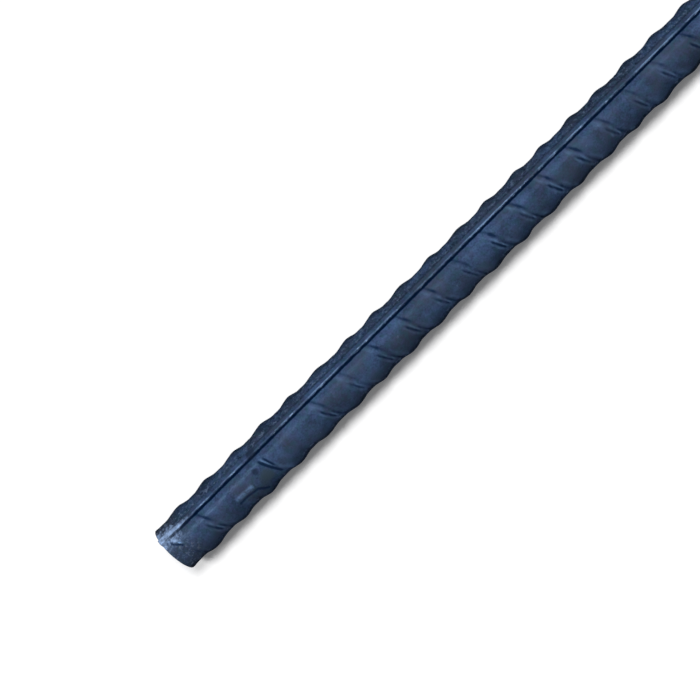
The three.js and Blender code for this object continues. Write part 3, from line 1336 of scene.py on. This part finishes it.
    def build(self, section: BarSection, half_length: float) -> Material:
        """Makes the material.

        Args:
            section: The bar's section, which places the finish of the longitudinal ribs.
            half_length: Half of the bar's length, which places the worn ends.

        Returns:
            The material.
        """
        steel = bpy.data.materials.new(self.name)
        tree = empty_tree(steel)
        at = self._read(tree, section, half_length)
        bare = self._bare(at)
        burnish, torn = self._cut_face(at)
        colour = linear(self.scale_dark)
        for mask, tint in (
            *self._clouds(at),
            *self._flecks(at),
            # Painted shade low on the flanks.
            (self._flank_shade(tree), self.painted_flank_shade),
            (self.dulled_place.draw(tree, at.place, at.mottle), self.dulled),
            *self._worn_end(at),
            # Painted shade, highlights, glints and sheen along the longitudinal ribs and the top.
            *self._long_rib(at),
            *((smear.draw(tree, at.place, at.flecks), self.dark_fleck_and_shade) for smear in self.smears),
            (bare, self.bare_steel_and_glint),
            # The worn mark, a painted highlight on the fins and painted shade in the folds and the crease.
            *self._rolled_lines(at),
            # A painted glint on the near end's edge.
            (self.glint_place.draw(tree, at.place, at.flecks), self.painted_glint),
            (at.cut_face, self.fracture),
            (self._pits(at, torn), self.end_dirt),
            (burnish, self.burnish),
        ):
            colour = add_node(
                tree, "ShaderNodeMix", {"Factor": mask, "A": colour, "B": linear(tint)}, data_type="RGBA"
            ).outputs["Result"]

        metal = add_node(tree, "ShaderNodeMath", {0: bare, 1: at.cut_face}, operation="MAXIMUM")
        satin = add_node(tree, "ShaderNodeMapRange", self.satin.over(at.mottle))
        surface = add_node(
            tree,
            "ShaderNodeBsdfPrincipled",
            {
                "Base Color": colour,
                "Metallic": add_node(tree, "ShaderNodeMapRange", self.metallic.over(metal)),
                "Roughness": add_node(
                    tree, "ShaderNodeMix", {"Factor": burnish, "A": satin, "B": self.burnish_roughness}
                ),
                "Specular IOR Level": self.specular_level,
                "Specular Tint": linear(self.edge_tint),
                "Normal": self._relief(at, torn),
            },
        )
        add_node(tree, "ShaderNodeOutputMaterial", {"Surface": surface})
        return steel

    def _read(self, tree: NodeTree, section: BarSection, half_length: float) -> SteelPoint:
        """Works out where a point lies against the longitudinal ribs and the ends, and the patterns there.

        Args:
            tree: The material's tree.
            section: The bar's section.
            half_length: Half of the bar's length.

        Returns:
            The point's measures and patterns.
        """
        where = add_node(tree, "ShaderNodeTexCoord").outputs["Object"]
        place = add_node(tree, "ShaderNodeVectorMath", {0: where, "Scale": 1 / MM}, operation="SCALE")
        lying = add_node(tree, "ShaderNodeSeparateXYZ", {0: place}).outputs
        inputs = {"Vector": place, "Rotation": (section.resting_turn(), 0.0, 0.0)}
        standing = add_node(tree, "ShaderNodeMapping", inputs)
        standing = add_node(tree, "ShaderNodeSeparateXYZ", {0: standing}).outputs
        rib_side = add_node(tree, "ShaderNodeMath", {0: standing["Z"]}, operation="SIGN")
        end_side = add_node(tree, "ShaderNodeMath", {0: lying["X"]}, operation="SIGN")
        from_middle = add_node(tree, "ShaderNodeMath", {0: lying["X"]}, operation="ABSOLUTE")
        underside = add_node(tree, "ShaderNodeMath", {0: lying["Z"], 1: 0.0}, operation="LESS_THAN")
        inputs = {0: underside, 1: self.underside_shift, 2: lying["Y"]}
        sideways = add_node(tree, "ShaderNodeMath", inputs, operation="MULTIPLY_ADD")
        inputs = {0: half_length / MM, 1: from_middle}
        to_end = add_node(tree, "ShaderNodeMath", inputs, operation="SUBTRACT")
        cut_face = add_node(tree, "ShaderNodeAttribute", attribute_name="cut_face").outputs["Fac"]
        mottle, grain, flecks = (
            add_node(tree, "ShaderNodeTexNoise", {"Vector": place, "Scale": 1 / size, **detail})
            for size, detail in (
                (self.mottle_size, {"Detail": 3.0}),
                (self.grain_size, {"Detail": 2.0}),
                (self.fleck_size, {"Detail": 4.0, "Roughness": 0.74}),
            )
        )
        return SteelPoint(
            tree=tree,
            place=place,
            across=add_node(tree, "ShaderNodeMath", {0: standing["Y"], 1: rib_side}, operation="MULTIPLY"),
            beside_rib=add_node(tree, "ShaderNodeMath", {0: standing["Y"]}, operation="ABSOLUTE"),
            off_top=add_node(tree, "ShaderNodeMath", {0: sideways, 1: self.sheen_line}, operation="SUBTRACT"),
            to_end=to_end,
            from_blade=add_node(tree, "ShaderNodeMath", {0: lying["Y"], 1: end_side}, operation="MULTIPLY"),
            cut_face=cut_face,
            on_side=add_node(tree, "ShaderNodeMath", {0: 1.0, 1: cut_face}, operation="SUBTRACT"),
            mottle=mottle,
            grain=grain,
            flecks=flecks,
        )

    def _clouds(self, at: SteelPoint) -> list[Layer]:
        """Lays the scale's own clouded blue, which is grey in places and tinted as thin oxide is.

        Args:
            at: What the finish reads.

        Returns:
            The layers, over the dark scale.
        """
        inputs = {0: at.place, 1: self.elsewhere}
        elsewhere = add_node(at.tree, "ShaderNodeVectorMath", inputs, operation="ADD")
        clouds, greying, tints = (
            add_node(at.tree, "ShaderNodeTexNoise", {"Vector": where, "Scale": 1 / size, "Detail": 2.0})
            for where, size in (
                (at.place, self.cloud_size),
                (elsewhere, self.cloud_size),
                (elsewhere, self.tint_size),
            )
        )
        tone = at.mottle
        for pattern, weight in ((clouds, self.cloud_weight), (at.grain, self.grain_weight)):
            inputs = {0: pattern, 1: weight, 2: tone}
            tone = add_node(at.tree, "ShaderNodeMath", inputs, operation="MULTIPLY_ADD")
        return [
            (add_node(at.tree, "ShaderNodeMapRange", fade.over(pattern)), tint)
            for pattern, fade, tint in (
                (tone, self.light_tone, self.scale_light),
                (greying, self.greying, self.scale_grey),
                (tints, self.teal_tint, self.scale_teal),
                (tints, self.violet_tint, self.scale_violet),
            )
        ]

    def _spots(self, at: SteelPoint, within: Node, kinds: tuple[tuple[Fade, str], ...]) -> list[Layer]:
        """Spots of several colours, from the pattern of the flecks.

        Args:
            at: What the finish reads.
            within: How strong the spots are, over the bar.
            kinds: For each kind, its strength over the pattern and its colour.

        Returns:
            A layer for each kind.
        """
        made = []
        for fade, tint in kinds:
            spots = fade.over(at.flecks)
            spots = add_node(at.tree, "ShaderNodeMapRange", spots, interpolation_type="SMOOTHSTEP")
            mask = add_node(at.tree, "ShaderNodeMath", {0: spots, 1: within}, operation="MULTIPLY")
            made.append((mask, tint))
        return made

    def _flecks(self, at: SteelPoint) -> list[Layer]:
        """Lays flecks of broken scale beyond each longitudinal rib, sparser on the crescents, which are darker
        there.

        Args:
            at: What the finish reads.

        Returns:
            The layers.
        """
        inputs = self.flecked_across.over(at.across)
        beyond = add_node(at.tree, "ShaderNodeMapRange", inputs, interpolation_type="SMOOTHSTEP")
        swell = add_node(at.tree, "ShaderNodeAttribute", attribute_name="swell").outputs["Fac"]
        bared = add_node(at.tree, "ShaderNodeMapRange", self.flecks_on_crescent.over(swell))
        strength = add_node(at.tree, "ShaderNodeMath", {0: beyond, 1: bared}, operation="MULTIPLY")
        # The crescents' bodies beyond the rib are darker.
        shade = add_node(at.tree, "ShaderNodeMath", {0: swell, 1: beyond}, operation="MULTIPLY")
        shade = add_node(at.tree, "ShaderNodeMath", {0: shade, 1: self.crescent_shade}, operation="MULTIPLY")
        greyed = add_node(at.tree, "ShaderNodeMath", {0: swell, 1: self.crescent_grey}, operation="MULTIPLY")
        kinds = ((self.light_flecks, self.light_fleck), (self.dark_flecks, self.dark_fleck_and_shade))
        return [(greyed, self.scale_grey), (shade, self.dark_fleck_and_shade), *self._spots(at, strength, kinds)]

    def _worn_end(self, at: SteelPoint) -> list[Layer]:
        """Lays grey dirt and pale dust on the broken scale at the end.

        Args:
            at: What the finish reads.

        Returns:
            The layers.
        """
        inputs = self.dirty_end.over(at.to_end)
        near_end = add_node(at.tree, "ShaderNodeMapRange", inputs, interpolation_type="SMOOTHSTEP")
        return self._spots(at, near_end, ((self.dirt, self.end_dirt), (self.dust, self.end_dust)))

    def _flank_shade(self, tree: NodeTree) -> Node:
        """How much painted shade lies low on the bar's flanks."""
        flank_shade_mask = add_node(tree, "ShaderNodeAttribute", attribute_name="flank_shade_mask").outputs["Fac"]
        return add_node(tree, "ShaderNodeMath", {0: flank_shade_mask, 1: self.flank_shade_share}, operation="MULTIPLY")

    def _rolled_lines(self, at: SteelPoint) -> list[Layer]:
        """Lays the worn mark, painted highlights on the fins, and painted shade in the crease and the folds.

        Args:
            at: What the finish reads.

        Returns:
            The layers.
        """
        mark = add_node(at.tree, "ShaderNodeAttribute", attribute_name="mark").outputs["Fac"]
        worn = add_node(at.tree, "ShaderNodeMapRange", self.mark_wear.over(at.flecks))
        worn = add_node(at.tree, "ShaderNodeMath", {0: worn, 1: self.mark_share}, operation="MULTIPLY")
        mark = add_node(at.tree, "ShaderNodeMath", {0: mark, 1: worn}, operation="MULTIPLY")
        made = [(mark, self.fin_highlight_and_worn_mark)]
        # The fins take a painted highlight, and the folds and the crease painted shade.
        for name, fade, tint in (
            ("fin", self.fin_tone, self.fin_highlight_and_worn_mark),
            ("fold", self.fold_tone, self.painted_crease_shade),
            ("crease", self.crease_tone, self.painted_crease_shade),
        ):
            line = add_node(at.tree, "ShaderNodeAttribute", attribute_name=name).outputs["Fac"]
            made.append((add_node(at.tree, "ShaderNodeMapRange", fade.over(line)), tint))
        return made

    def _long_rib(self, at: SteelPoint) -> list[Layer]:
        """Lays a longitudinal rib's painted root and foot shade and corner highlight, and the top's painted
        sheen.

        Args:
            at: What the finish reads.

        Returns:
            The layers.
        """
        tree = at.tree
        highlight_break_scale = (1 / self.highlight_break_length, 1 / self.highlight_break_width, 1 / self.highlight_break_width)
        drawn = add_node(tree, "ShaderNodeMapping", {"Vector": at.place, "Scale": highlight_break_scale})
        inputs = {"Vector": drawn, "Scale": 1.0, "Detail": 3.0, "Roughness": 0.65}
        highlight_breaks = add_node(tree, "ShaderNodeTexNoise", inputs)
        inputs = {"Vector": at.place, "Scale": 1 / self.cloud_size, "Detail": 1.0}
        stretches = add_node(tree, "ShaderNodeTexNoise", inputs)
        corner_highlight_pattern = add_node(tree, "ShaderNodeMath", {0: highlight_breaks, 1: stretches}, operation="ADD")
        wander = add_node(tree, "ShaderNodeMath", {0: highlight_breaks, 1: 0.5}, operation="SUBTRACT")
        across, beside = (
            add_node(tree, "ShaderNodeMath", {0: wander, 1: reach, 2: measure}, operation="MULTIPLY_ADD")
            for reach, measure in ((self.rib_wander, at.across), (-self.rib_wander, at.beside_rib))
        )

        made = []
        # Painted shade at the far foot and the root, a painted sheen line on the top, and a painted highlight
        # and glints on the corner.
        for stripe, measure, shares, tint in (
            (self.far_foot_shade, across, [self.far_foot_shade_kept.over(at.to_end)], self.dark_fleck_and_shade),
            (
                self.sheen_stripe,
                at.off_top,
                [self.sheen_breaks.over(highlight_breaks), self.sheen_kept.over(at.to_end)],
                self.painted_highlight,
            ),
            (self.root_shade_stripe, beside, [self.root_kept.over(at.to_end)], self.painted_root_shade),
            (self.highlit_corner, across, [self.highlight_breaks.over(corner_highlight_pattern)], self.painted_highlight),
            (self.highlit_corner, across, [self.glints.over(highlight_breaks)], self.bare_steel_and_glint),
        ):
            mask = stripe.draw(tree, measure)
            for inputs in shares:
                share = add_node(tree, "ShaderNodeMapRange", inputs)
                mask = add_node(tree, "ShaderNodeMath", {0: mask, 1: share}, operation="MULTIPLY")
            mask = add_node(tree, "ShaderNodeMath", {0: mask, 1: at.on_side}, operation="MULTIPLY")
            made.append((mask, tint))
        return made

    def _bare(self, at: SteelPoint) -> Node:
        """Finds where the shear has worn the end bare: along the long rib, and in patches beside it.

        Args:
            at: What the finish reads.

        Returns:
            The mask.
        """
        tree = at.tree
        near_end, crest_end = (
            add_node(tree, "ShaderNodeMapRange", fade.over(at.to_end), interpolation_type="SMOOTHSTEP")
            for fade in (self.bared_end, self.bared_crest_end)
        )
        round_rib = self.bared_round_rib.draw(tree, at.across)
        patches = add_node(tree, "ShaderNodeMath", {0: near_end, 1: round_rib}, operation="MULTIPLY")
        fin = add_node(tree, "ShaderNodeAttribute", attribute_name="fin").outputs["Fac"]
        crest = self.bared_crest.draw(tree, at.across)
        for factor in (near_end, self.bared_fin_weight):
            fin = add_node(tree, "ShaderNodeMath", {0: fin, 1: factor}, operation="MULTIPLY")
        for factor in (crest_end, self.bared_crest_weight):
            crest = add_node(tree, "ShaderNodeMath", {0: crest, 1: factor}, operation="MULTIPLY")
        reach = patches
        for other in (fin, crest):
            reach = add_node(tree, "ShaderNodeMath", {0: reach, 1: other}, operation="MAXIMUM")
        for pattern, weight in ((at.flecks, self.bared_fleck_weight), (at.mottle, self.bared_mottle_weight)):
            inputs = {0: pattern, 1: weight, 2: reach}
            reach = add_node(tree, "ShaderNodeMath", inputs, operation="MULTIPLY_ADD")
        bare = add_node(tree, "ShaderNodeMapRange", self.bared.over(reach), interpolation_type="SMOOTHSTEP")
        # Bare steel stays off the rib's wall, which keeps its painted root shade.
        root_shade_fade = add_node(tree, "ShaderNodeMapRange", self.wall_kept.over(at.to_end))
        wall = self.root_shade_wall.draw(tree, at.beside_rib)
        wall = add_node(tree, "ShaderNodeMath", {0: wall, 1: root_shade_fade}, operation="MULTIPLY")
        off_wall = add_node(tree, "ShaderNodeMath", {0: 1.0, 1: wall}, operation="SUBTRACT")
        bare = add_node(tree, "ShaderNodeMath", {0: bare, 1: off_wall}, operation="MULTIPLY")
        return add_node(tree, "ShaderNodeMath", {0: bare, 1: at.on_side}, operation="MULTIPLY")

    def _cut_face(self, at: SteelPoint) -> tuple[Node, Node]:
        """The two parts of a cut face, with a ragged line between them.

        Args:
            at: What the finish reads.

        Returns:
            Where the blade has burnished the face, and where the steel broke and tore before it.
        """
        inputs = {0: at.mottle, 1: self.raggedness, 2: at.from_blade}
        ragged = add_node(at.tree, "ShaderNodeMath", inputs, operation="MULTIPLY_ADD")
        inputs = self.burnished.over(ragged)
        band = add_node(at.tree, "ShaderNodeMapRange", inputs, interpolation_type="SMOOTHSTEP")
        burnish = add_node(at.tree, "ShaderNodeMath", {0: band, 1: at.cut_face}, operation="MULTIPLY")
        torn = add_node(at.tree, "ShaderNodeMath", {0: at.cut_face, 1: burnish}, operation="SUBTRACT")
        return burnish, torn

    def _pits(self, at: SteelPoint, torn: Node) -> Node:
        """The dark pits of the torn steel."""
        pits = add_node(at.tree, "ShaderNodeMapRange", self.pits.over(at.grain))
        return add_node(at.tree, "ShaderNodeMath", {0: pits, 1: torn}, operation="MULTIPLY")

    def _relief(self, at: SteelPoint, torn: Node) -> Node:
        """The fine relief: grain, soft unevenness, rolling streaks along the bar and a torn cut face.

        Args:
            at: What the finish reads.
            torn: Where the steel broke and tore in the cut.

        Returns:
            The bump node.
        """
        tree = at.tree
        streak_scale = (1 / self.streak_length, 1 / self.streak_width, 1 / self.streak_width)
        drawn = add_node(tree, "ShaderNodeMapping", {"Vector": at.place, "Scale": streak_scale})
        streaks = add_node(tree, "ShaderNodeTexNoise", {"Vector": drawn, "Scale": 1.0, "Detail": 2.0})
        inputs = {0: at.mottle, 1: self.torn_mottle_relief, 2: at.grain}
        rough = add_node(tree, "ShaderNodeMath", inputs, operation="MULTIPLY_ADD")
        rough = add_node(tree, "ShaderNodeMath", {0: rough, 1: torn}, operation="MULTIPLY")
        height = at.grain
        for pattern, weight in (
            (at.mottle, self.mottle_relief),
            (streaks, self.streak_relief),
            (rough, self.torn_relief),
        ):
            inputs = {0: pattern, 1: weight, 2: height}
            height = add_node(tree, "ShaderNodeMath", inputs, operation="MULTIPLY_ADD")
        return add_node(tree, "ShaderNodeBump", {"Height": height, "Distance": self.grain_depth})


@dataclass
class RibbedBar:
    """The whole bar: its skin, its crescent ribs and its finish."""

    section: BarSection = field(default_factory=BarSection)
    ends: ShearedEnds = field(default_factory=ShearedEnds)
    pattern: RibPattern = field(default_factory=RibPattern)
    mark: MillMark = field(default_factory=MillMark)
    first_fold_zone: FineZone = FineZone((-299.4 * MM, -292.8 * MM), (math.radians(-78), math.radians(16)))
    finish: MillScaleSteel = field(default_factory=MillScaleSteel)

    def half_length(self) -> float:
        """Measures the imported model's box.

        Returns:
            Half of the bar's length, without what its leaning cuts add.
        """
        low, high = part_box(BAR_NODE)
        ring = self.section.lying_ring()
        return (high.x - low.x) / 2 - self.ends.overhang(ring)

    def divide_first_fold(self, skin: Mesh) -> None:
        """Divides the skin where the rings turn square to the bar and the first rib's folds cross them.

        Args:
            skin: The bar's skin.
        """
        work = bmesh.new()
        work.from_mesh(skin)
        self.first_fold_zone.divide(work)
        work.to_mesh(skin)
        work.free()

    def build(self) -> Object:
        """Makes the bar as one closed piece at the origin.

        Returns:
            The bar, which rides its body and takes its node's place.
        """
        half_length = self.half_length()
        skin = BarSkin(self.section, self.ends, self.pattern, half_length).build()
        self.mark.raise_on(skin, self.section.core_radius)
        self.divide_first_fold(skin)
        lean_rate = self.pattern.lean_rate(self.section.core_radius)
        steel = self.finish.build(self.section, half_length)
        ribs = CrescentRibs(self.pattern, lean_rate, half_length, self.mark.rib_number)
        mesh = ribs.raise_on(skin, steel)
        bar = bpy.data.objects.new("ribbed_bar", mesh)
        bpy.context.scene.collection.objects.link(bar)
        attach(bar, BAR_BODY)
        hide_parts(BAR_NODE)
        return bar


@dataclass(frozen=True)
class StudioFinish:
    """A matt white table top that stays white to the eye and keeps the shadow."""

    name: str = "matt_white_table"
    colour: str = "#9c9c9c"
    lift: float = 0.085

    def build(self) -> Material:
        """Makes the material.

        Returns:
            The material.
        """
        white = bpy.data.materials.new(self.name)
        tree = empty_tree(white)
        seen = seen_itself(tree)
        tint = add_node(
            tree,
            "ShaderNodeMix",
            {"Factor": seen, "A": linear(self.colour), "B": (1.0, 1.0, 1.0, 1.0)},
            data_type="RGBA",
        ).outputs["Result"]
        strength = add_node(tree, "ShaderNodeMath", {0: seen, 1: self.lift}, operation="MULTIPLY")
        matt = add_node(tree, "ShaderNodeBsdfDiffuse", {"Color": tint})
        glow = add_node(tree, "ShaderNodeEmission", {"Strength": strength})
        surface = add_node(tree, "ShaderNodeAddShader", {0: matt, 1: glow})
        add_node(tree, "ShaderNodeOutputMaterial", {"Surface": surface})
        return white


@dataclass(frozen=True)
class Studio:
    """The floor, the two soft lamps, the pale surroundings and the camera."""

    floor_side: float = 6.0
    image_side: int = 700
    millimetres_per_pixel: float = 0.2255
    camera_distance_pixels: float = 1500.0
    camera_turn: float = math.radians(-44.87)
    view_centre: tuple[float, float] = (-240.34 * MM, 3.94 * MM)
    sensor: float = 36.0
    lamp_slope: float = 0.33
    lamp_row: tuple[float, ...] = (-0.44, 0.14)
    lamp_angle: float = math.radians(17.5)
    lamp_share: float = 0.85
    surround: float = 0.15

    def build(self, lowest: float) -> None:
        """Makes the studio round an object.

        Args:
            lowest: The height of the object's lowest point, where the floor goes.
        """
        half = self.floor_side / 2
        floor_corners = [(x * half, y * half, lowest) for x, y in ((-1, -1), (1, -1), (1, 1), (-1, 1))]
        mesh = bpy.data.meshes.new("floor")
        mesh.from_pydata(floor_corners, [], [(0, 1, 2, 3)])
        mesh.materials.append(StudioFinish().build())
        floor = bpy.data.objects.new("floor", mesh)
        bpy.context.scene.collection.objects.link(floor)
        floor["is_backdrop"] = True
        self.add_lamps()
        self.add_surround()
        self.add_camera()

    def add_lamps(self) -> None:
        """Hangs two soft lamps over the bar's far side, so far apart that its ribs' shadows even out."""
        for number, along in enumerate(self.lamp_row, start=1):
            towards = Vector((along, self.lamp_slope, 1.0))
            lamp = bpy.data.lights.new(f"soft_lamp_{number}", "SUN")
            lamp.angle = self.lamp_angle
            lamp.energy = math.pi * self.lamp_share / len(self.lamp_row) * towards.length
            holder = bpy.data.objects.new(f"soft_lamp_{number}", lamp)
            holder.rotation_euler = towards.to_track_quat("Z", "Y").to_euler()
            bpy.context.scene.collection.objects.link(holder)

    def add_surround(self) -> None:
        """Makes the surroundings: white to the eye and in reflections, and a weak fill light otherwise."""
        world = bpy.data.worlds.new("pale_room")
        tree = empty_tree(world)
        seen = seen_itself(tree)
        strength = add_node(tree, "ShaderNodeMapRange", {"Value": seen, "To Min": self.surround})
        room = add_node(tree, "ShaderNodeBackground", {"Color": (1.0, 1.0, 1.0, 1.0), "Strength": strength})
        add_node(tree, "ShaderNodeOutputWorld", {"Surface": room})
        bpy.context.scene.world = world

    def add_camera(self) -> None:
        """Puts the camera straight above the bar's near end, turned so that the bar runs up to the right."""
        data = bpy.data.cameras.new("camera")
        data.sensor_width = self.sensor
        data.lens = self.sensor * self.camera_distance_pixels / self.image_side
        data.clip_start = 0.01
        data.clip_end = 20.0
        camera = bpy.data.objects.new("camera", data)
        height = self.camera_distance_pixels * self.millimetres_per_pixel * MM
        camera.location = (*self.view_centre, height)
        camera.rotation_euler = (0.0, 0.0, self.camera_turn)
        bpy.context.scene.collection.objects.link(camera)
        bpy.context.scene.camera = camera


def main() -> None:
    """Builds the bar and its studio."""
    logging.basicConfig(level=logging.INFO, format="%(name)s: %(message)s")
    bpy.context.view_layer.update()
    bpy.context.scene.view_settings.view_transform = "Standard"
    bar = RibbedBar().build()
    triangles = sum(len(polygon.vertices) - 2 for polygon in bar.data.polygons)
    LOG.info("%s: %d triangles", bar.name, triangles)
    dressed_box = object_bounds()
    Studio().build(dressed_box[0].z)
    LOG.info("studio: floor at %.2f mm", dressed_box[0].z / MM)


if __name__ == "__main__":
    main()
